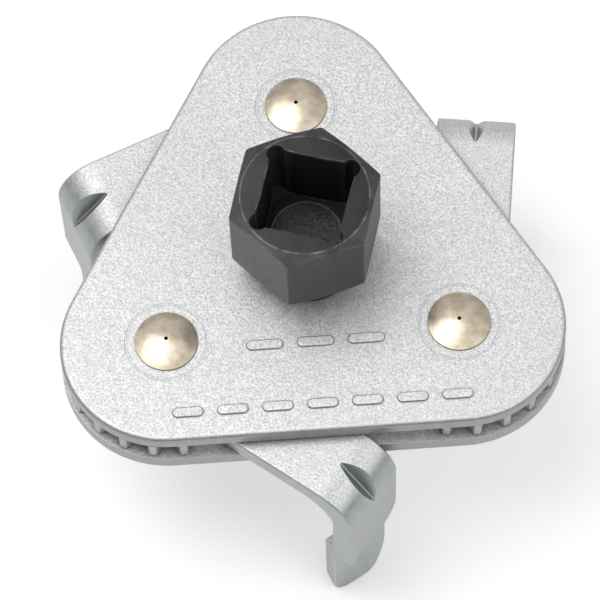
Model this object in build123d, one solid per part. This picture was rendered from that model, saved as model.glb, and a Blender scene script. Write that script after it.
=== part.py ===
from build123d import *
import os
from math import acos, atan2, cos, degrees, pi, radians, sin, sqrt, tan

# Three-claw oil filter wrench. Millimetres, +Z up along the drive axis.
# The origin is the centre of the drive square's mouth, on top of the hexagon,
# so every other level is below zero. Three claw arms carry gear teeth and all
# mesh with one sun gear between two rounded triangular plates.

# --- driving dimensions -------------------------------------------------------

PIVOT_RADIUS = 25.0            # drive axis to each arm pivot
PIVOT_ANGLES = {"top": 90.0, "left": 210.0, "right": 330.0}

HEX_ACROSS_FLATS = 20.0
HEX_HEIGHT = 14.6
HEX_TURN = 13.9                # angle of one hexagon corner from +X
HEX_CHAMFER_RADIUS = 9.4       # circle left by the chamfer on each end face
HEX_CORNER_ROUND = 0.6
HEX_CHAMFER_DROP = 0.9         # chamfer height at the six corners
SQUARE_ACROSS_FLATS = 12.9     # half-inch drive
SQUARE_TURN = -16.9
SQUARE_BOW = 0.3               # how far each side of the square bows inward
SQUARE_CORNER_RELIEF = 1.3     # radius of the round relief in each corner
SQUARE_MOUTH_ROUND = 0.2
SQUARE_RELIEF_INSET = 0.9      # its centre, in from the two sides
SOCKET_DEPTH = 13.6
NECK_RADIUS = 7.5
NECK_HEIGHT = 6.05             # hexagon stands this far above the top plate

TOP_PLATE_THICKNESS = 2.4
TOP_PLATE_CORNER = 15.8
TOP_PLATE_EDGE_ROUND = 0.7
BOTTOM_PLATE_THICKNESS = 3.05
BOTTOM_PLATE_CORNER = 15.95
BOTTOM_PLATE_EDGE_ROUND = 0.5
PLATE_GAP = 4.3

MARK_HEIGHT = 0.35             # plain raised bars on the top plate
MARK_WIDTH = 1.6
MARK_EDGE_ROUND = 0.25
MARK_GAP = 2.0
MARK_ROWS = [                  # row centre (x, y), bars in the row, bar length
    ((0.3, -14.1), 3, 5.5),
    ((0.7, -24.0), 7, 4.6),
]

GEAR_TEETH_ARM = 21
GEAR_TEETH_SUN = 15
GEAR_PRESSURE_ANGLE = 25.0
GEAR_BACKLASH = 0.14           # taken off each tooth's width at the pitch circle
GEAR_TIP_CLEARANCE = 0.3
ARM_TIP_RADIUS = 15.6
SUN_TIP_RADIUS = 11.55
TOOTH_TIP_ROUND = 0.35
FLANK_STEPS = 4                # straight runs in each involute flank
TOOTH_FOOT = 0.4               # how far each tooth is sunk into the blank it stands on

ARM_THICKNESS = 3.5
ARM_FLOAT = 0.1                # running gap over and under each arm and the sun gear
ARM_HALF_WIDTH = 6.0
ARM_OFFSET = -0.6              # the beam's centre line passes beside the pivot
ARM_REACH = 37.4               # pivot to the claw's outer face
ARM_REST_TURN = -38.3          # direction of the left arm at rest
ARM_TOOTH_PHASE = 5.5          # one tooth centre, from the arm's own direction
TOOTH_SPAN = 145.0             # teeth reach this far either side of the hub's back
BEND_OUTER_RADIUS = 6.2
BEND_INNER_RADIUS = 1.0
GUSSET_RADIUS = 5.0            # thickened inside of the bend, on the tab's side only
GUSSET_EDGE_Y = 1.2
GUSSET_OVERLAP = 1.0           # how far the gusset runs into the strip it thickens
CLAW_DROP = 36.6               # arm's top face down to the claw tip
STEP_DROP = 20.7               # arm's top face down to the slit over the gripping tab
TAB_DROP = 25.0                # and to the tab's top at its free end; its top edge slopes
TAB_FOLD_ANGLE = 32.0          # the tab turns inward about an upright line
TAB_FOLD_Y = -1.0
TAB_FOLD_RADIUS = 4.5          # outside of the fold
TAB_FOLD_START = TAB_FOLD_Y + TAB_FOLD_RADIUS * tan(radians(TAB_FOLD_ANGLE / 2))
TAB_EDGE_Y = 2.4               # plain edge of the tab, below the side notch
TAB_LENGTH = 6.3
TIP_CURVE_RISE = 9.5           # the tip's long curve climbs this far up the tab's plain edge
TIP_CURVE_MIDDLE = (0.5, 3.9)  # one point on that curve: Y, and height over the tip
TIP_FLAT_Y = -4.0              # the curve meets the flat end of the claw here
TIP_CORNER = 1.7               # rounded corner at the tab's folded edge
NOTCH_DROP = 21.5              # arm's top face down to the side notch
NOTCH_CORNER_RISE = 3.5        # height of the rounded corner over the notch
NOTCH_CORNER_MIDDLE = (0.9, 1.2)   # a point on it: in from the side, and up
DENT_DEPTH = 1.9               # stiffening dent, a straight vee pressed across the bend
DENT_HALF_WIDTH = 1.5          # at the crown of the bend
DENT_LENGTH = 8.4
DENT_VALLEY_ROUND = 0.3
ARM_RIM_ROUND = 0.4            # edges of the strip's outer face
ARM_INSIDE_ROUND = 0.3         # edges of its inner face

PIVOT_SHANK_RADIUS = 3.0
SLEEVE_RADIUS = 4.5
RUNNING_CLEARANCE = 0.05
RIVET_HEAD_RADIUS = 4.65
RIVET_HEAD_HEIGHT = 1.3
RIVET_HEAD_RIM = 0.25          # upright edge under the dome
RIVET_HEAD_SHOULDER = (0.55, 0.72)  # point on the dome, as shares of its radius and height
RIVET_TAIL_RADIUS = 4.6
RIVET_COIN_RADIUS = 6.2        # faint ring coined into the top plate round each head
RIVET_COIN_WIDTH = 0.35
RIVET_COIN_DEPTH = 0.06
RIVET_DIMPLE_RADIUS = 0.3
RIVET_DIMPLE_END = 0.1
RIVET_DIMPLE_DEPTH = 0.5
SPIGOT_RADIUS = 5.0
SPIGOT_RECESS = 0.4            # spigot stops short of the bottom plate's lower face
STUB_RADIUS = 5.5
STUB_PROUD = 0.3               # staked end stands above the socket's floor
STUB_CHAMFER = 0.2
DRIVE_WASHER_RADIUS = 8.9
WASHER_RADIUS = 8.6

CUT_MARGIN = 1.0               # cutters run this far past what they cut
MATCH = 0.001                  # lengths closer than this are the same
CLAW_CUT_DEPTH = 12.0          # cutters across the claw start this far inside its outer face

# --- levels, all worked out downwards from the top of the hexagon --------------

HEX_BOTTOM = -HEX_HEIGHT
TOP_PLATE_TOP = HEX_BOTTOM - NECK_HEIGHT
TOP_PLATE_BOTTOM = TOP_PLATE_TOP - TOP_PLATE_THICKNESS
BOTTOM_PLATE_TOP = TOP_PLATE_BOTTOM - PLATE_GAP
BOTTOM_PLATE_BOTTOM = BOTTOM_PLATE_TOP - BOTTOM_PLATE_THICKNESS
ARM_BOTTOM = BOTTOM_PLATE_TOP + ARM_FLOAT
ARM_TOP = ARM_BOTTOM + ARM_THICKNESS
WASHER_BOTTOM = ARM_TOP + ARM_FLOAT
SOCKET_FLOOR = -SOCKET_DEPTH
GEAR_MODULE = 2 * PIVOT_RADIUS / (GEAR_TEETH_ARM + GEAR_TEETH_SUN)

UPRIGHT = (Align.CENTER, Align.CENTER, Align.MIN)   # a cone standing on its base


def pivot(name):
    """Centre of one arm pivot in the XY plane."""
    angle = radians(PIVOT_ANGLES[name])
    return (PIVOT_RADIUS * cos(angle), PIVOT_RADIUS * sin(angle))


def disc(radius, low, high, centre=(0, 0)):
    """Plain cylinder between two levels."""
    return Pos(centre[0], centre[1], low) * extrude(Circle(radius), high - low)


def rounded_triangle(corner_radius, low, high):
    """Plate blank: three corner arcs about the pivots, joined by straight sides."""
    pivots = [pivot(name) for name in PIVOT_ANGLES]
    triangle = make_face(Polyline(*pivots, close=True))
    return Pos(0, 0, low) * extrude(offset(triangle, corner_radius), high - low)


# --- gears ----------------------------------------------------------------------

def involute(angle):
    return tan(angle) - angle


def tooth_profile(teeth, tip_radius, root_radius):
    """One tooth about +X, from root to rounded tip, with involute flanks."""
    pitch_radius = GEAR_MODULE * teeth / 2
    pressure = radians(GEAR_PRESSURE_ANGLE)
    base_radius = pitch_radius * cos(pressure)
    half_at_pitch = pi / (2 * teeth) - GEAR_BACKLASH / (2 * pitch_radius)

    def flank(radius):
        slope = acos(min(1.0, base_radius / radius))
        half = half_at_pitch + involute(pressure) - involute(slope)
        return (radius * cos(half), radius * sin(half))

    start = max(base_radius, root_radius)
    radii = [start + (tip_radius - start) * i / FLANK_STEPS for i in range(FLANK_STEPS + 1)]
    upper = [flank(r) for r in radii]
    foot = degrees(atan2(upper[0][1], upper[0][0]))
    sunk = root_radius - TOOTH_FOOT
    upper.insert(0, (sunk * cos(radians(foot)), sunk * sin(radians(foot))))
    lower = [(x, -y) for x, y in reversed(upper)]
    outline = make_face(Polyline(*upper, *lower, close=True))
    tips = outline.vertices().sort_by(Axis.X)[-2:]
    return fillet(tips, TOOTH_TIP_ROUND)


def toothed_ring(teeth, tip_radius, root_radius, angles):
    """Gear blank with a tooth at each of the given angles."""
    tooth = tooth_profile(teeth, tip_radius, root_radius)
    ring = Circle(root_radius)
    for angle in angles:
        ring += Rot(0, 0, angle) * tooth
    return ring


def mesh_phase(arm_angle_to_sun):
    """Angle of a sun tooth that drops into the arm's tooth space on the centre line."""
    arm_pitch = 360 / GEAR_TEETH_ARM
    sun_pitch = 360 / GEAR_TEETH_SUN
    lead = (arm_angle_to_sun - ARM_TOOTH_PHASE) % arm_pitch
    return sun_pitch / 2 + lead / arm_pitch * sun_pitch


# --- claw arm ---------------------------------------------------------------------

def quarter_bend(x_face, z_face, radius):
    """Arc from a level face at z_face round to an upright face at x_face."""
    x_mid = x_face - radius * (1 - sqrt(0.5))
    z_mid = z_face - radius * (1 - sqrt(0.5))
    return ThreePointArc((x_face - radius, z_face), (x_mid, z_mid), (x_face, z_face - radius))


def upright_slab(profile, y_low, y_high):
    """Solid with the given XZ outline between two Y values."""
    section = Plane.XZ * make_face(profile)
    return Pos(0, y_high, 0) * extrude(section, y_high - y_low)


def bent_strip():
    """Beam and upper claw as one bent strip, with the gusset inside the bend."""
    inner_face = ARM_REACH - ARM_THICKNESS
    low = ARM_TOP - CLAW_DROP
    y_low = ARM_OFFSET - ARM_HALF_WIDTH
    y_high = ARM_OFFSET + ARM_HALF_WIDTH
    strip = upright_slab([
        Line((0, ARM_TOP), (ARM_REACH - BEND_OUTER_RADIUS, ARM_TOP)),
        quarter_bend(ARM_REACH, ARM_TOP, BEND_OUTER_RADIUS),
        Line((ARM_REACH, ARM_TOP - BEND_OUTER_RADIUS), (ARM_REACH, low)),
        Line((ARM_REACH, low), (inner_face, low)),
        Line((inner_face, low), (inner_face, ARM_BOTTOM - BEND_INNER_RADIUS)),
        quarter_bend(inner_face, ARM_BOTTOM, BEND_INNER_RADIUS),
        Line((inner_face - BEND_INNER_RADIUS, ARM_BOTTOM), (0, ARM_BOTTOM)),
        Line((0, ARM_BOTTOM), (0, ARM_TOP)),
    ], y_low, y_high)
    gusset_face = inner_face - GUSSET_RADIUS
    gusset_low = ARM_BOTTOM - GUSSET_RADIUS
    overlap_x = inner_face + GUSSET_OVERLAP
    overlap_z = ARM_BOTTOM + GUSSET_OVERLAP
    gusset = upright_slab([
        quarter_bend(inner_face, ARM_BOTTOM, GUSSET_RADIUS),
        Line((inner_face, gusset_low), (overlap_x, gusset_low)),
        Line((overlap_x, gusset_low), (overlap_x, overlap_z)),
        Line((overlap_x, overlap_z), (gusset_face, overlap_z)),
        Line((gusset_face, overlap_z), (gusset_face, ARM_BOTTOM)),
    ], y_low, GUSSET_EDGE_Y)
    return strip + gusset


def side_outline(points):
    """Prism along X through the claw, from a closed outline in Y and Z."""
    prism = extrude(Plane.YZ * make_face(points), CLAW_CUT_DEPTH + CUT_MARGIN)
    return Pos(ARM_REACH - CLAW_CUT_DEPTH, 0, 0) * prism


def below_claw():
    """Cutter under the upper claw: the step over the tab and the rounded side shoulder."""
    left = ARM_OFFSET - ARM_HALF_WIDTH - CUT_MARGIN
    right = ARM_OFFSET + ARM_HALF_WIDTH
    outside = right + CUT_MARGIN
    step = ARM_TOP - STEP_DROP
    shoulder = ARM_TOP - NOTCH_DROP
    corner_top = shoulder + NOTCH_CORNER_RISE
    corner_middle = (right - NOTCH_CORNER_MIDDLE[0], shoulder + NOTCH_CORNER_MIDDLE[1])
    low = ARM_TOP - CLAW_DROP - CUT_MARGIN
    return side_outline([
        Line((left, step), (TAB_EDGE_Y, step)),
        Line((TAB_EDGE_Y, step), (TAB_EDGE_Y, shoulder)),
        ThreePointArc((TAB_EDGE_Y, shoulder), corner_middle, (right, corner_top)),
        Line((right, corner_top), (outside, corner_top)),
        Line((outside, corner_top), (outside, low)),
        Line((outside, low), (left, low)),
        Line((left, low), (left, step)),
    ])


def claw_tab():
    """Lower claw: a plate folded inward, so that its edge bites the filter."""
    fold = radians(TAB_FOLD_ANGLE)
    inner = ARM_REACH - ARM_THICKNESS
    inner_fold = TAB_FOLD_Y + ARM_THICKNESS * tan(fold / 2)
    tip = (ARM_REACH - TAB_LENGTH * sin(fold), TAB_FOLD_Y - TAB_LENGTH * cos(fold))
    inner_tip = (tip[0] - ARM_THICKNESS * cos(fold), tip[1] + ARM_THICKNESS * sin(fold))
    plan = make_face(Polyline(
        (ARM_REACH, TAB_EDGE_Y), (ARM_REACH, TAB_FOLD_Y), tip,
        inner_tip, (inner, inner_fold), (inner, TAB_EDGE_Y), close=True))
    for x, y, radius in (
            (ARM_REACH, TAB_FOLD_Y, TAB_FOLD_RADIUS),
            (inner, inner_fold, TAB_FOLD_RADIUS - ARM_THICKNESS)):
        plan = fillet(plan.vertices().sort_by_distance((x, y))[0], radius)
    low = ARM_TOP - CLAW_DROP
    tab = Pos(0, 0, low) * extrude(plan, CLAW_DROP - STEP_DROP)
    curve_top = low + TIP_CURVE_RISE
    curve_middle = (TIP_CURVE_MIDDLE[0], low + TIP_CURVE_MIDDLE[1])
    side = tip[1] - CUT_MARGIN
    corner_low = (tip[1] + TIP_CORNER, low)
    corner_high = (tip[1], low + TIP_CORNER)
    corner_in = TIP_CORNER * (1 - sqrt(0.5))
    slope_top = (TAB_FOLD_Y, ARM_TOP - STEP_DROP)
    slope_low = (side, ARM_TOP - TAB_DROP)
    outline = side_outline([
        Line(slope_low, slope_top),
        Line(slope_top, (TAB_EDGE_Y, slope_top[1])),
        Line((TAB_EDGE_Y, slope_top[1]), (TAB_EDGE_Y, curve_top)),
        ThreePointArc((TAB_EDGE_Y, curve_top), curve_middle, (TIP_FLAT_Y, low)),
        Line((TIP_FLAT_Y, low), corner_low),
        ThreePointArc(corner_low, (tip[1] + corner_in, low + corner_in), corner_high),
        Line(corner_high, (side, corner_high[1])),
        Line((side, corner_high[1]), slope_low),
    ])
    return tab & outline


def bend_dent():
    """Cutter for the dent: a straight vee laid across the crown of the bend."""
    centre = (ARM_REACH - BEND_OUTER_RADIUS, ARM_OFFSET, ARM_TOP - BEND_OUTER_RADIUS)
    across = Plane(origin=centre, x_dir=(0, 1, 0), z_dir=(1, 0, -1))
    valley = BEND_OUTER_RADIUS - DENT_DEPTH
    mouth = BEND_OUTER_RADIUS + CUT_MARGIN
    half = DENT_HALF_WIDTH * (mouth - valley) / DENT_DEPTH
    vee = make_face(Polyline((0, valley), (half, mouth), (-half, mouth), close=True))
    vee = fillet(vee.vertices().sort_by(Axis.Y)[0], DENT_VALLEY_ROUND)
    return extrude(across * vee, DENT_LENGTH / 2, both=True)


def span(edge):
    """Lowest and highest corner of an edge's box."""
    box = edge.bounding_box()
    return box.min, box.max


def same(first, second):
    return abs(first - second) < MATCH


def outer_rim(edge):
    """True for the sharp edges round the strip's outer face, past the gear."""
    low, high = span(edge)
    beam = same(low.Z, ARM_TOP) and high.X > ARM_TIP_RADIUS
    bend = same(high.Z, ARM_TOP) and same(high.X, ARM_REACH)
    claw = same(low.X, ARM_REACH)
    side = same(low.Y, high.Y) and abs(low.Y - ARM_OFFSET) > ARM_HALF_WIDTH - MATCH
    below = high.Z < ARM_TOP - NOTCH_DROP + NOTCH_CORNER_RISE + MATCH
    fold = same(low.Y, TAB_FOLD_START) and same(high.Y, TAB_FOLD_START)
    slit = same(low.Z, ARM_TOP - STEP_DROP) and same(high.Z, ARM_TOP - STEP_DROP)
    return (side and (beam or bend or claw)) or (claw and below and not fold and not slit)


def inner_rim(edge):
    """True for the side edges of the strip's inner face, from the bend down."""
    low, high = span(edge)
    side = same(low.Y, high.Y) and abs(low.Y - ARM_OFFSET) > ARM_HALF_WIDTH - MATCH
    return side and same(high.X, ARM_REACH - ARM_THICKNESS) and high.Z < ARM_BOTTOM + MATCH


def claw_arm():
    """Arm about its pivot at the origin, beam along +X, claw hanging down."""
    root = PIVOT_RADIUS - SUN_TIP_RADIUS - GEAR_TIP_CLEARANCE
    pitch = 360 / GEAR_TEETH_ARM
    angles = [(ARM_TOOTH_PHASE + pitch * i) % 360 for i in range(GEAR_TEETH_ARM)]
    angles = [a for a in angles if abs(a - 180) <= TOOTH_SPAN]
    gear = toothed_ring(GEAR_TEETH_ARM, ARM_TIP_RADIUS, root, angles)
    arm = Pos(0, 0, ARM_BOTTOM) * extrude(gear, ARM_THICKNESS)
    arm += bent_strip() - below_claw()
    arm += claw_tab()
    arm = fillet(arm.edges().filter_by(outer_rim), ARM_RIM_ROUND)
    arm = fillet(arm.edges().filter_by(inner_rim), ARM_INSIDE_ROUND)
    arm -= bend_dent()
    arm -= disc(SLEEVE_RADIUS + RUNNING_CLEARANCE, ARM_BOTTOM - CUT_MARGIN, ARM_TOP + CUT_MARGIN)
    return arm


# --- plates -------------------------------------------------------------------------

def raised_marks():
    """Two rows of plain raised bars on the top plate."""
    marks = []
    for (x_row, y_row), count, length in MARK_ROWS:
        spacing = length + MARK_GAP
        for i in range(count):
            x = x_row + (i - (count - 1) / 2) * spacing
            bar = Pos(x, y_row, TOP_PLATE_TOP) * extrude(
                SlotOverall(length, MARK_WIDTH), MARK_HEIGHT)
            rim = bar.faces().sort_by(Axis.Z)[-1].edges()
            marks.append(fillet(rim, MARK_EDGE_ROUND))
    return marks


def top_plate():
    plate = rounded_triangle(TOP_PLATE_CORNER, TOP_PLATE_BOTTOM, TOP_PLATE_TOP)
    rim = plate.faces().sort_by(Axis.Z)[-1].edges()
    plate = fillet(rim, TOP_PLATE_EDGE_ROUND)
    plate += raised_marks()
    low = TOP_PLATE_BOTTOM - CUT_MARGIN
    high = TOP_PLATE_TOP + CUT_MARGIN
    coin_low = TOP_PLATE_TOP - RIVET_COIN_DEPTH
    plate -= disc(NECK_RADIUS + RUNNING_CLEARANCE, low, high)
    for name in PIVOT_ANGLES:
        coin = disc(RIVET_COIN_RADIUS, coin_low, high, pivot(name))
        coin -= disc(RIVET_COIN_RADIUS - RIVET_COIN_WIDTH, coin_low, high, pivot(name))
        plate -= coin
        plate -= disc(PIVOT_SHANK_RADIUS, low, high, pivot(name))
    return plate


def tail_cone(name):
    """Countersink that a rivet's tail fills, flush with the lower face."""
    x, y = pivot(name)
    sink = RIVET_TAIL_RADIUS - PIVOT_SHANK_RADIUS
    cone = Cone(RIVET_TAIL_RADIUS, PIVOT_SHANK_RADIUS, sink, align=UPRIGHT)
    return Pos(x, y, BOTTOM_PLATE_BOTTOM) * cone


def bottom_plate():
    plate = rounded_triangle(BOTTOM_PLATE_CORNER, BOTTOM_PLATE_BOTTOM, BOTTOM_PLATE_TOP)
    rim = plate.faces().sort_by(Axis.Z)[0].edges()
    plate = fillet(rim, BOTTOM_PLATE_EDGE_ROUND)
    low = BOTTOM_PLATE_BOTTOM - CUT_MARGIN
    high = BOTTOM_PLATE_TOP + CUT_MARGIN
    plate -= disc(SPIGOT_RADIUS + RUNNING_CLEARANCE, low, high)
    for name in PIVOT_ANGLES:
        plate -= disc(PIVOT_SHANK_RADIUS, low, high, pivot(name))
        plate -= tail_cone(name)
    return plate


# --- pivots -------------------------------------------------------------------------

def pivot_rivet(name):
    """Domed head on the top plate, shank through both plates, flush tail."""
    shoulder_radius, shoulder_height = RIVET_HEAD_SHOULDER
    shoulder = (RIVET_HEAD_RADIUS * shoulder_radius, RIVET_HEAD_HEIGHT * shoulder_height)
    head = make_face([
        Line((0, 0), (RIVET_HEAD_RADIUS, 0)),
        Line((RIVET_HEAD_RADIUS, 0), (RIVET_HEAD_RADIUS, RIVET_HEAD_RIM)),
        ThreePointArc((RIVET_HEAD_RADIUS, RIVET_HEAD_RIM), shoulder, (0, RIVET_HEAD_HEIGHT)),
        Line((0, RIVET_HEAD_HEIGHT), (0, 0)),
    ])
    dome = revolve(Plane.XZ * head, Axis.Z)
    pit = Cone(RIVET_DIMPLE_END, RIVET_DIMPLE_RADIUS, RIVET_DIMPLE_DEPTH, align=UPRIGHT)
    dimple = Pos(0, 0, RIVET_HEAD_HEIGHT - RIVET_DIMPLE_DEPTH) * pit
    x, y = pivot(name)
    rivet = Pos(x, y, TOP_PLATE_TOP) * (dome - dimple)
    rivet += disc(PIVOT_SHANK_RADIUS, BOTTOM_PLATE_BOTTOM, TOP_PLATE_TOP, (x, y))
    return rivet + tail_cone(name)


def pivot_sleeve(name):
    """Spacer tube between the plates, which the arm turns on."""
    sleeve = disc(SLEEVE_RADIUS, BOTTOM_PLATE_TOP, TOP_PLATE_BOTTOM, pivot(name))
    return sleeve - disc(PIVOT_SHANK_RADIUS, BOTTOM_PLATE_TOP, TOP_PLATE_BOTTOM, pivot(name))


def arm_washer(name):
    """Thrust washer over one arm's hub, against the top plate."""
    washer = disc(WASHER_RADIUS, WASHER_BOTTOM, TOP_PLATE_BOTTOM, pivot(name))
    hole = SLEEVE_RADIUS + RUNNING_CLEARANCE
    return washer - disc(hole, WASHER_BOTTOM, TOP_PLATE_BOTTOM, pivot(name))


# --- drive --------------------------------------------------------------------------

def drive_socket():
    """Square recess with bowed sides and round corner reliefs."""
    half = SQUARE_ACROSS_FLATS / 2
    corners = [(half, half), (-half, half), (-half, -half), (half, -half)]
    bowed = half - SQUARE_BOW
    middles = [(0, bowed), (-bowed, 0), (0, -bowed), (bowed, 0)]
    sides = [
        ThreePointArc(corners[i], middles[i], corners[(i + 1) % 4])
        for i in range(4)
    ]
    recess = make_face(sides)
    relief = half - SQUARE_RELIEF_INSET
    for x, y in [(relief, relief), (-relief, relief), (-relief, -relief), (relief, -relief)]:
        recess += Pos(x, y) * Circle(SQUARE_CORNER_RELIEF)
    return Pos(0, 0, SOCKET_FLOOR) * Rot(0, 0, SQUARE_TURN) * extrude(recess, SOCKET_DEPTH + CUT_MARGIN)


def hexagon_head():
    """Hexagon with both ends chamfered back to a circle."""
    hexagon = RegularPolygon(HEX_ACROSS_FLATS / 2, 6, major_radius=False, rotation=HEX_TURN)
    hexagon = fillet(hexagon.vertices(), HEX_CORNER_ROUND)
    corner = HEX_ACROSS_FLATS / sqrt(3)
    head = Pos(0, 0, HEX_BOTTOM) * extrude(hexagon, HEX_HEIGHT)
    turned = make_face(Polyline(
        (0, HEX_BOTTOM), (HEX_CHAMFER_RADIUS, HEX_BOTTOM),
        (corner, HEX_BOTTOM + HEX_CHAMFER_DROP), (corner, -HEX_CHAMFER_DROP),
        (HEX_CHAMFER_RADIUS, 0), (0, 0), close=True))
    return head & revolve(Plane.XZ * turned, Axis.Z)


def drive_nut():
    """Hexagon over a round neck that turns in the top plate."""
    nut = hexagon_head()
    nut += disc(NECK_RADIUS, ARM_TOP, HEX_BOTTOM)
    nut -= drive_socket()
    mouth = nut.faces().sort_by(Axis.Z)[-1].inner_wires()[0]
    nut = fillet(mouth.edges(), SQUARE_MOUTH_ROUND)
    nut -= disc(STUB_RADIUS, ARM_TOP - CUT_MARGIN, SOCKET_FLOOR + CUT_MARGIN)
    return nut


def sun_gear():
    """Gear with a stub pressed up through the neck and a spigot in the bottom plate."""
    root = PIVOT_RADIUS - ARM_TIP_RADIUS - GEAR_TIP_CLEARANCE
    pitch = 360 / GEAR_TEETH_SUN
    arm_faces_sun = 180 + PIVOT_ANGLES["left"] - ARM_REST_TURN
    first = PIVOT_ANGLES["left"] + mesh_phase(arm_faces_sun)
    angles = [first + pitch * i for i in range(GEAR_TEETH_SUN)]
    ring = toothed_ring(GEAR_TEETH_SUN, SUN_TIP_RADIUS, root, angles)
    gear = Pos(0, 0, ARM_BOTTOM) * extrude(ring, ARM_THICKNESS)
    gear += disc(SPIGOT_RADIUS, BOTTOM_PLATE_BOTTOM + SPIGOT_RECESS, ARM_BOTTOM)
    stub = disc(STUB_RADIUS, ARM_TOP, SOCKET_FLOOR + STUB_PROUD)
    stub = chamfer(stub.faces().sort_by(Axis.Z)[-1].edges(), STUB_CHAMFER)
    return gear + stub


def drive_washer():
    """Thrust washer round the neck, between the sun gear and the top plate."""
    washer = disc(DRIVE_WASHER_RADIUS, WASHER_BOTTOM, TOP_PLATE_BOTTOM)
    return washer - disc(NECK_RADIUS + RUNNING_CLEARANCE, WASHER_BOTTOM, TOP_PLATE_BOTTOM)


# --- assembly -----------------------------------------------------------------------

def placed_arm(arm, name):
    """One arm at its pivot, at its rest angle; the three are alike every 120 degrees."""
    x, y = pivot(name)
    turn = ARM_REST_TURN + PIVOT_ANGLES[name] - PIVOT_ANGLES["left"]
    return Pos(x, y, 0) * Rot(0, 0, turn) * arm


def build():
    """Every node of the wrench, by name."""
    nodes = {
        "top_plate": top_plate(),
        "bottom_plate": bottom_plate(),
        "drive_nut": drive_nut(),
        "sun_gear": sun_gear(),
        "drive_washer": drive_washer(),
    }
    arm = claw_arm()
    for name in PIVOT_ANGLES:
        nodes[f"claw_arm_{name}"] = placed_arm(arm, name)
        nodes[f"pivot_rivet_{name}"] = pivot_rivet(name)
        nodes[f"pivot_sleeve_{name}"] = pivot_sleeve(name)
        nodes[f"arm_washer_{name}"] = arm_washer(name)
    return nodes


os.makedirs("parts", exist_ok=True)
for node, solid in build().items():
    export_step(solid, f"parts/{node}.step")
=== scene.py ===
import math

import bpy
from mathutils import Matrix, Vector


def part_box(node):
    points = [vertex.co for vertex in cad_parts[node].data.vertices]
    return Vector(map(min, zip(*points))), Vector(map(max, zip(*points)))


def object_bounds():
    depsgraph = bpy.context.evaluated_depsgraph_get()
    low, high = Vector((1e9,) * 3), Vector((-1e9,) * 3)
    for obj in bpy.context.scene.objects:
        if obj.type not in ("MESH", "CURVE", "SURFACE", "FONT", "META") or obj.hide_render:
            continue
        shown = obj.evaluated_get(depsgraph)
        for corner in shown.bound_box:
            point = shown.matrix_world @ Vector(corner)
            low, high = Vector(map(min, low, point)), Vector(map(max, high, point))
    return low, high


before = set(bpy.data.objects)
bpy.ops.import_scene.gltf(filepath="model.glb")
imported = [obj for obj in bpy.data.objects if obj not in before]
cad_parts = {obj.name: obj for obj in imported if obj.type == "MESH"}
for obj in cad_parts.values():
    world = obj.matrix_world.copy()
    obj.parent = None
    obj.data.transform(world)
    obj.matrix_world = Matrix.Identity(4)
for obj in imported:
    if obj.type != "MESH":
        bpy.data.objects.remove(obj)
cad_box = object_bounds()

MM = 0.001
ARMS = ("top", "left", "right")

scene = bpy.context.scene
scene.view_settings.view_transform = "Standard"


# --- camera, floor and light ------------------------------------------------------

CAMERA_AZIMUTH = -1.475        # degrees; 0 looks along +Y
CAMERA_ELEVATION = 65.651
CAMERA_ROLL = -2.576
CAMERA_DISTANCE = 572.4 * MM
CAMERA_LENS = 231.9            # on a 36 mm sensor
PLATE_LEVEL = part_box("pivot_rivet_top")[1].z - 1.3 * MM
CAMERA_TARGET = Vector((-1.55 * MM, -7.23 * MM, PLATE_LEVEL))

SKY_STOPS = ((0.0, 0.26), (0.45, 0.42), (0.8, 0.64), (1.0, 0.74))   # height, brightness
FLOOR_HALF_WIDTH = 3.0
FLOOR_GAP = 0.02 * MM


def direction(azimuth, elevation):
    """Unit vector from the object towards a viewer or a light."""
    a = math.radians(azimuth)
    e = math.radians(elevation)
    return Vector((math.sin(a) * math.cos(e), -math.cos(a) * math.cos(e), math.sin(e)))


def make_camera():
    back = direction(CAMERA_AZIMUTH, CAMERA_ELEVATION)
    right = Vector((0, 0, 1)).cross(back).normalized()
    up = back.cross(right)
    roll = math.radians(CAMERA_ROLL)
    side = right * math.cos(roll) + up * math.sin(roll)
    head = up * math.cos(roll) - right * math.sin(roll)
    data = bpy.data.cameras.new("camera")
    data.sensor_width = 36
    data.lens = CAMERA_LENS
    data.clip_start = 0.05
    data.clip_end = 10
    camera = bpy.data.objects.new("camera", data)
    place = CAMERA_TARGET + back * CAMERA_DISTANCE
    camera.matrix_world = Matrix((
        (side.x, head.x, back.x, place.x),
        (side.y, head.y, back.y, place.y),
        (side.z, head.z, back.z, place.z),
        (0, 0, 0, 1),
    ))
    scene.collection.objects.link(camera)
    scene.camera = camera


def softbox(name, azimuth, elevation, distance, size, power, tint=(1, 1, 1)):
    """Square area light that faces the middle of the wrench."""
    data = bpy.data.lights.new(name, "AREA")
    data.shape = "SQUARE"
    data.size = size
    data.energy = power
    data.color = tint
    lamp = bpy.data.objects.new(name, data)
    towards = direction(azimuth, elevation)
    lamp.location = Vector((0, 0, PLATE_LEVEL)) + towards * distance
    lamp.rotation_mode = "QUATERNION"
    lamp.rotation_quaternion = towards.to_track_quat("Z", "Y")
    scene.collection.objects.link(lamp)


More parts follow.
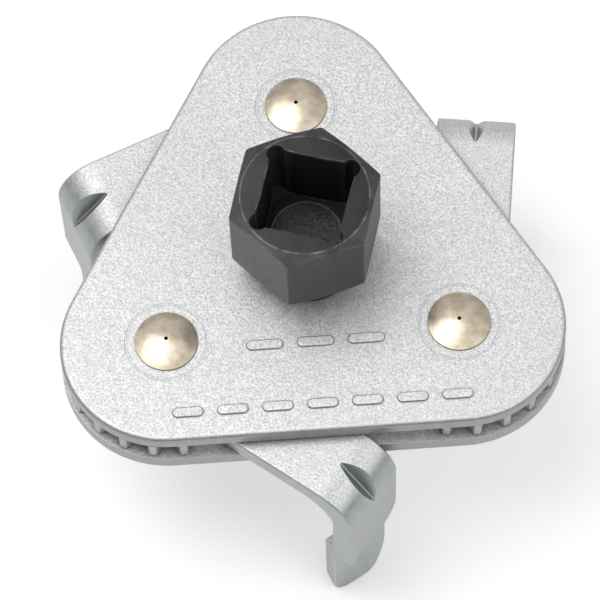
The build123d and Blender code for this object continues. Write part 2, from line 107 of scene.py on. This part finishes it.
def make_world():
    """Studio surroundings: bright overhead, dimmer towards the horizon."""
    world = bpy.data.worlds.new("studio")
    scene.world = world
    world.use_nodes = True
    nodes = world.node_tree.nodes
    links = world.node_tree.links
    background = nodes["Background"]
    coordinates = nodes.new("ShaderNodeTexCoord")
    parts = nodes.new("ShaderNodeSeparateXYZ")
    ramp = nodes.new("ShaderNodeValToRGB")
    links.new(coordinates.outputs["Generated"], parts.inputs[0])
    links.new(parts.outputs["Z"], ramp.inputs[0])
    links.new(ramp.outputs[0], background.inputs["Color"])
    elements = ramp.color_ramp.elements
    elements[0].position, elements[1].position = SKY_STOPS[0][0], SKY_STOPS[-1][0]
    for place, level in SKY_STOPS[1:-1]:
        elements.new(place)
    for element, (place, level) in zip(elements, SKY_STOPS):
        element.position = place
        element.color = (level, level, level * 1.01, 1)
    background.inputs["Strength"].default_value = 1.0


def make_floor():
    """Pale floor just under the claws' tips."""
    size = FLOOR_HALF_WIDTH
    level = cad_box[0].z - FLOOR_GAP
    mesh = bpy.data.meshes.new("floor")
    signs = ((-1, -1), (1, -1), (1, 1), (-1, 1))
    corners = [(x * size, y * size, level) for x, y in signs]
    mesh.from_pydata(corners, [], [(0, 1, 2, 3)])
    floor = bpy.data.objects.new("floor", mesh)
    scene.collection.objects.link(floor)
    material = bpy.data.materials.new("floor")
    material.use_nodes = True
    shader = material.node_tree.nodes["Principled BSDF"]
    shader.inputs["Base Color"].default_value = (0.93, 0.93, 0.93, 1)
    shader.inputs["Roughness"].default_value = 0.9
    shader.inputs["Specular IOR Level"].default_value = 0.1
    shader.inputs["Emission Color"].default_value = (1, 1, 1, 1)
    shader.inputs["Emission Strength"].default_value = 0.22
    mesh.materials.append(material)


make_camera()
make_world()
make_floor()
softbox("key", -105, 71, 0.7, 0.42, 1.9)
softbox("front_fill", 55, 35, 0.9, 0.6, 1.7)


# --- material helpers ---------------------------------------------------------------

def shade(colour, factor):
    """A lighter or darker version of a colour, no brighter than white."""
    return tuple(min(1.0, channel * factor) for channel in colour)


class Shader:
    """A new material with short calls to add and join nodes."""

    def __init__(self, name):
        self.material = bpy.data.materials.new(name)
        self.material.use_nodes = True
        self.nodes = self.material.node_tree.nodes
        self.links = self.material.node_tree.links
        self.surface = self.nodes["Principled BSDF"]
        self.place = self.nodes.new("ShaderNodeTexCoord").outputs["Object"]

    def set(self, **values):
        for name, value in values.items():
            self.surface.inputs[name.replace("_", " ")].default_value = value

    def join(self, source, target):
        self.links.new(source, target)

    def feed(self, source, name):
        self.links.new(source, self.surface.inputs[name])

    def noise(self, size, detail=3.0, roughness=0.55, place=None, stretch=None):
        """Noise with features about size metres across."""
        node = self.nodes.new("ShaderNodeTexNoise")
        node.inputs["Scale"].default_value = 1 / size
        node.inputs["Detail"].default_value = detail
        node.inputs["Roughness"].default_value = roughness
        source = place or self.place
        if stretch:
            mapping = self.nodes.new("ShaderNodeMapping")
            mapping.inputs["Scale"].default_value = stretch
            self.join(source, mapping.inputs["Vector"])
            source = mapping.outputs[0]
        self.join(source, node.inputs["Vector"])
        return node.outputs["Fac"]

    def cells(self, size):
        """Distance to the nearest of many scattered points, in cells."""
        node = self.nodes.new("ShaderNodeTexVoronoi")
        node.inputs["Scale"].default_value = 1 / size
        self.join(self.place, node.inputs["Vector"])
        return node.outputs["Distance"]

    def span(self, source, low, high, to_low=0.0, to_high=1.0):
        """Maps a value from one range to another, held at the ends."""
        node = self.nodes.new("ShaderNodeMapRange")
        node.inputs["From Min"].default_value = low
        node.inputs["From Max"].default_value = high
        node.inputs["To Min"].default_value = to_low
        node.inputs["To Max"].default_value = to_high
        self.join(source, node.inputs["Value"])
        return node.outputs[0]

    def maths(self, operation, first, second=None):
        node = self.nodes.new("ShaderNodeMath")
        node.operation = operation
        for socket, value in zip(node.inputs, (first, second)):
            if isinstance(value, (int, float)):
                socket.default_value = value
            elif value is not None:
                self.join(value, socket)
        return node.outputs[0]

    def mix(self, amount, first, second):
        """Colour between first and second; either may be a colour or a socket."""
        node = self.nodes.new("ShaderNodeMix")
        node.data_type = "RGBA"
        self.join(amount, node.inputs[0])
        for index, value in ((6, first), (7, second)):
            if isinstance(value, tuple):
                node.inputs[index].default_value = (*value, 1)
            else:
                self.join(value, node.inputs[index])
        return node.outputs[2]

    def bump(self, height, strength, depth, under=None):
        node = self.nodes.new("ShaderNodeBump")
        node.inputs["Strength"].default_value = strength
        node.inputs["Distance"].default_value = depth
        self.join(height, node.inputs["Height"])
        if under is not None:
            self.join(under, node.inputs["Normal"])
        return node.outputs[0]

    def blend(self, amount, first, second):
        """Number between first and second; either may be a number or a socket."""
        node = self.nodes.new("ShaderNodeMix")
        self.join(amount, node.inputs[0])
        for index, value in ((2, first), (3, second)):
            if isinstance(value, (int, float)):
                node.inputs[index].default_value = value
            else:
                self.join(value, node.inputs[index])
        return node.outputs[0]

    def upright(self):
        """1 on level faces, 0 on upright ones."""
        geometry = self.nodes.new("ShaderNodeNewGeometry")
        parts = self.nodes.new("ShaderNodeSeparateXYZ")
        self.join(geometry.outputs["Normal"], parts.inputs[0])
        return self.maths("ABSOLUTE", parts.outputs["Z"])

    def sideways(self):
        """Position along X, in metres."""
        parts = self.nodes.new("ShaderNodeSeparateXYZ")
        self.join(self.place, parts.inputs[0])
        return parts.outputs["X"]

    def turned(self, centre):
        """Distance from an upright axis through centre, and height, both in metres."""
        offset = self.nodes.new("ShaderNodeVectorMath")
        offset.operation = "SUBTRACT"
        offset.inputs[1].default_value = (centre.x, centre.y, 0)
        self.join(self.place, offset.inputs[0])
        flat = self.nodes.new("ShaderNodeVectorMath")
        flat.operation = "MULTIPLY"
        flat.inputs[1].default_value = (1, 1, 0)
        self.join(offset.outputs[0], flat.inputs[0])
        radius = self.nodes.new("ShaderNodeVectorMath")
        radius.operation = "LENGTH"
        self.join(flat.outputs[0], radius.inputs[0])
        parts = self.nodes.new("ShaderNodeSeparateXYZ")
        self.join(self.place, parts.inputs[0])
        return radius.outputs["Value"], parts.outputs["Z"]

    def recess(self, reach):
        """0 in the open, rising to 1 in narrow gaps and hollows."""
        shelter = self.nodes.new("ShaderNodeAmbientOcclusion")
        shelter.samples = 6
        shelter.inputs["Distance"].default_value = reach
        return self.span(shelter.outputs["AO"], 0.80, 0.35)

    def rounded(self, radius):
        """Shading normal with every edge rounded off."""
        bevel = self.nodes.new("ShaderNodeBevel")
        bevel.samples = 4
        bevel.inputs["Radius"].default_value = radius
        return bevel.outputs[0]

    def edges(self, radius):
        """0 on open faces, rising to 1 along edges closer than radius."""
        bevel = self.nodes.new("ShaderNodeBevel")
        bevel.samples = 6
        bevel.inputs["Radius"].default_value = radius
        geometry = self.nodes.new("ShaderNodeNewGeometry")
        dot = self.nodes.new("ShaderNodeVectorMath")
        dot.operation = "DOT_PRODUCT"
        self.join(bevel.outputs[0], dot.inputs[0])
        self.join(geometry.outputs["True Normal"], dot.inputs[1])
        return self.span(dot.outputs["Value"], 0.995, 0.80)


# --- materials ------------------------------------------------------------------------

DRIVE_AXIS = Vector((0, 0, 0))
SOCKET_EDGE = (7.6 * MM, 7.1 * MM)         # from outside the socket to inside it
SOCKET_MOUTH = (-0.15 * MM, -0.6 * MM)
CHAMFER_CIRCLE = 9.4 * MM                  # radius where the hexagon's chamfer starts
CHAMFER_EDGE = (9.35 * MM, 9.55 * MM)
STUB_RIM = (5.05 * MM, 5.25 * MM)          # bright rim of the gear's staked end
STUB_LEVEL = (-15 * MM, -14.5 * MM)        # the gear above this is the staked end
RING_PITCH = 0.34 * MM                     # tool rings on the rivet heads
# edge of the painted-shade spot in the rivet pinhole
PINHOLE_EDGE = (0.34 * MM, 0.24 * MM)


def blasted_steel(name, flat, edge, pits):
    """Zinc plated steel: grainy blasted flats; smoother bends and cut edges, painted darker as
    shade; painted shade in gaps and hollows; edges lighter as wear plus painted highlight.
    """
    s = Shader(name)
    grain = s.noise(0.34 * MM, 2.0, 0.75)
    coarse = s.noise(1.5 * MM, 2.0)
    cloud = s.noise(13 * MM, 2.0)
    streak = s.noise(1.1 * MM, 4.0, 0.6, stretch=(1, 1, 0.12))
    level = s.upright()
    # bends and upright faces: smoother finish, and painted shade from the darker edge colour
    bend_finish_and_shade = s.span(level, 0.93, 0.62)

    speckled = s.mix(s.span(grain, 0.32, 0.68), shade(flat, 0.66), shade(flat, 1.22))
    clouded = s.mix(s.span(cloud, 0.35, 0.65, 0.0, 0.22), speckled, shade(flat, 0.84))
    pit = s.span(s.cells(0.9 * MM), 0.16, 0.05)
    pit = s.maths("MULTIPLY", pit, s.span(coarse, 0.48, 0.58, 0.0, pits))
    pitted = s.mix(pit, clouded, shade(flat, 0.35))
    # streaks on bends and cut edges, in the edge colour darkened as painted shade
    drawn_and_shaded = s.mix(s.span(streak, 0.30, 0.70), shade(edge, 0.88), shade(edge, 1.12))
    skin = s.mix(bend_finish_and_shade, pitted, drawn_and_shaded)
    # painted shade: darker in gaps and hollows where ambient occlusion finds cover
    skin = s.mix(s.maths("MULTIPLY", s.recess(2.2 * MM), 0.75), skin, shade(edge, 0.45))
    # edges lighter: wear plus a painted highlight on the rounded edges
    wear_and_highlight = s.maths("MULTIPLY", s.edges(0.30 * MM), s.span(coarse, 0.35, 0.6, 0.10, 0.60))
    s.feed(s.mix(wear_and_highlight, skin, (0.80, 0.81, 0.82)), "Base Color")

    flat_rough = s.span(coarse, 0.3, 0.7, 0.36, 0.52)
    edge_rough = s.span(streak, 0.3, 0.7, 0.33, 0.45)
    s.feed(s.blend(bend_finish_and_shade, flat_rough, edge_rough), "Roughness")
    s.feed(s.blend(bend_finish_and_shade, 0.50, 0.85), "Metallic")

    on_flat = s.span(bend_finish_and_shade, 0.0, 1.0, 1.0, 0.12)
    soft = s.rounded(0.18 * MM)
    low = s.bump(s.maths("MULTIPLY", coarse, on_flat), 0.35, 0.08 * MM, under=soft)
    s.feed(s.bump(s.maths("MULTIPLY", grain, on_flat), 0.80, 0.07 * MM, under=low), "Normal")
    return s.material


def black_oxide():
    """Satin black drive nut: edges and chamfer circle lighter as wear plus painted highlight, the
    left side lighter as painted light, the chamfer band lighter in patches, and unpolished in the
    socket.
    """
    s = Shader("black_oxide")
    smear = s.noise(5 * MM, 4.0, 0.6, stretch=(1, 1, 0.35))
    fine = s.noise(0.35 * MM, 3.0, 0.65)
    radius, height = s.turned(DRIVE_AXIS)
    inside = s.maths("MULTIPLY", s.span(radius, *SOCKET_EDGE), s.span(height, *SOCKET_MOUTH))

    skin = s.mix(s.span(smear, 0.35, 0.65), (0.014, 0.014, 0.015), (0.026, 0.026, 0.027))
    skin = s.mix(s.span(fine, 0.55, 0.72, 0.0, 0.6), skin, (0.060, 0.060, 0.062))
    # painted light: the left side lighter, where the key light falls
    painted_left_light = s.span(s.sideways(), 7 * MM, -9 * MM)
    painted_left_sheen = s.maths("MULTIPLY", painted_left_light, s.span(smear, 0.3, 0.7, 0.5, 1.0))
    skin = s.mix(painted_left_sheen, skin, (0.058, 0.058, 0.059))
    # the chamfer band lighter in patches
    chamfer = s.maths("MULTIPLY", s.span(radius, *CHAMFER_EDGE), s.span(s.upright(), 0.4, 0.6))
    lighter_chamfer = s.maths("MULTIPLY", chamfer, s.span(smear, 0.35, 0.6, 0.3, 1.0))
    skin = s.mix(lighter_chamfer, skin, (0.075, 0.075, 0.076))
    skin = s.mix(inside, skin, (0.015, 0.015, 0.015))
    # edges and the chamfer circle lighter: wear plus a painted highlight
    off_circle = s.maths("ABSOLUTE", s.maths("SUBTRACT", radius, CHAMFER_CIRCLE))
    on_circle = s.span(off_circle, 0.20 * MM, 0.02 * MM, 0.0, 0.8)
    circle = s.maths("MULTIPLY", on_circle, s.span(height, -0.2 * MM, -0.05 * MM))
    edge = s.maths("MAXIMUM", s.edges(0.25 * MM), circle)
    patch = s.noise(2.5 * MM, 3.0, 0.7)
    wear_and_highlight = s.maths("MULTIPLY", edge, s.span(patch, 0.42, 0.66, 0.06, 0.85))
    s.feed(s.mix(wear_and_highlight, skin, (0.34, 0.34, 0.34)), "Base Color")

    s.feed(s.blend(inside, s.span(fine, 0.3, 0.7, 0.30, 0.46), 0.6), "Roughness")
    s.feed(s.blend(inside, 0.30, 0.20), "Specular IOR Level")
    s.feed(s.bump(fine, 0.30, 0.035 * MM, under=s.rounded(0.15 * MM)), "Normal")
    return s.material


def rivet_metal(name, centre):
    """Smooth pale yellow plating with faint rings and rays left by the rolling tool, with painted
    shade as a darker spot in the centre pinhole and a darker line on the steep rim.
    """
    s = Shader(name)
    radius, _ = s.turned(centre)
    wobble = s.noise(1.2 * MM, 3.0, 0.6)
    scratch = s.noise(0.22 * MM, 2.0, 0.6)
    rings = s.maths("SINE", s.maths("MULTIPLY", radius, 2 * math.pi / RING_PITCH))
    smudge = s.noise(2.2 * MM, 4.0, 0.65)

    tone = s.mix(s.span(smudge, 0.35, 0.65), (0.62, 0.53, 0.40), (0.86, 0.755, 0.60))
    tone = s.mix(s.span(scratch, 0.60, 0.75, 0.0, 0.35), tone, (0.30, 0.25, 0.18))
    # painted shade: a darker spot in the pinhole and a darker line along the steep rim
    pinhole = s.span(radius, *PINHOLE_EDGE)
    rim = s.span(s.upright(), 0.55, 0.25)
    pinhole_and_rim_shade = s.maths("MAXIMUM", pinhole, s.maths("MULTIPLY", rim, 0.85))
    s.feed(s.mix(pinhole_and_rim_shade, tone, (0.05, 0.04, 0.03)), "Base Color")
    s.feed(s.blend(pinhole_and_rim_shade, s.span(smudge, 0.3, 0.7, 0.30, 0.44), 0.7), "Roughness")
    s.set(Metallic=0.95)
    low = s.bump(wobble, 0.30, 0.05 * MM)
    low = s.bump(rings, 0.14, 0.01 * MM, under=low)
    s.feed(s.bump(scratch, 0.10, 0.02 * MM, under=low), "Normal")
    return s.material


def plain_steel(name, colour, roughness):
    """Oiled inner pieces: turned steel with a faint cloud of wear."""
    s = Shader(name)
    cloud = s.noise(3 * MM, 4.0, 0.6)
    fine = s.noise(0.4 * MM, 2.0)
    s.feed(s.mix(s.span(cloud, 0.3, 0.7), shade(colour, 0.75), colour), "Base Color")
    s.feed(s.span(fine, 0.3, 0.7, roughness - 0.08, roughness + 0.08), "Roughness")
    s.set(Metallic=1.0)
    s.feed(s.bump(fine, 0.25, 0.03 * MM), "Normal")
    return s.material


def centre_gear(colour):
    """Plain gear steel; the staked end at the bottom of the socket is darker, with a bright rim."""
    s = Shader("gear_steel")
    cloud = s.noise(3 * MM, 4.0, 0.6)
    fine = s.noise(0.4 * MM, 3.0, 0.65)
    radius, height = s.turned(DRIVE_AXIS)
    steel = s.mix(s.span(cloud, 0.3, 0.7), shade(colour, 0.75), colour)
    # the staked end at the socket bottom darker, with a lighter rim
    stub_tone = s.mix(s.span(fine, 0.35, 0.68), (0.03, 0.03, 0.03), (0.085, 0.085, 0.085))
    stub_tone = s.mix(s.span(radius, *STUB_RIM, 0.0, 0.6), stub_tone, (0.28, 0.28, 0.28))
    s.feed(s.mix(s.span(height, *STUB_LEVEL), steel, stub_tone), "Base Color")
    s.feed(s.span(fine, 0.3, 0.7, 0.32, 0.50), "Roughness")
    s.set(Metallic=0.9)
    s.feed(s.bump(fine, 0.45, 0.05 * MM), "Normal")
    return s.material


def dress(node, material):
    """Gives a CAD node its material."""
    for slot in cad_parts[node].material_slots:
        slot.material = material


# second colour: the edge colour, darker as painted shade on bends and cut edges
plate_steel = blasted_steel("plate_steel", (0.765, 0.77, 0.77), (0.30, 0.305, 0.30), 0.8)
arm_steel = blasted_steel("arm_steel", (0.765, 0.775, 0.775), (0.36, 0.375, 0.38), 0.5)
washer_steel = plain_steel("washer_steel", (0.55, 0.56, 0.57), 0.30)

for name in ("top_plate", "bottom_plate"):
    dress(name, plate_steel)
dress("drive_nut", black_oxide())
dress("sun_gear", centre_gear((0.45, 0.46, 0.47)))
dress("drive_washer", washer_steel)
for arm in ARMS:
    rivet = f"pivot_rivet_{arm}"
    low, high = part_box(rivet)
    dress(f"claw_arm_{arm}", arm_steel)
    dress(rivet, rivet_metal(f"rivet_metal_{arm}", (low + high) / 2))
    dress(f"pivot_sleeve_{arm}", washer_steel)
    dress(f"arm_washer_{arm}", washer_steel)
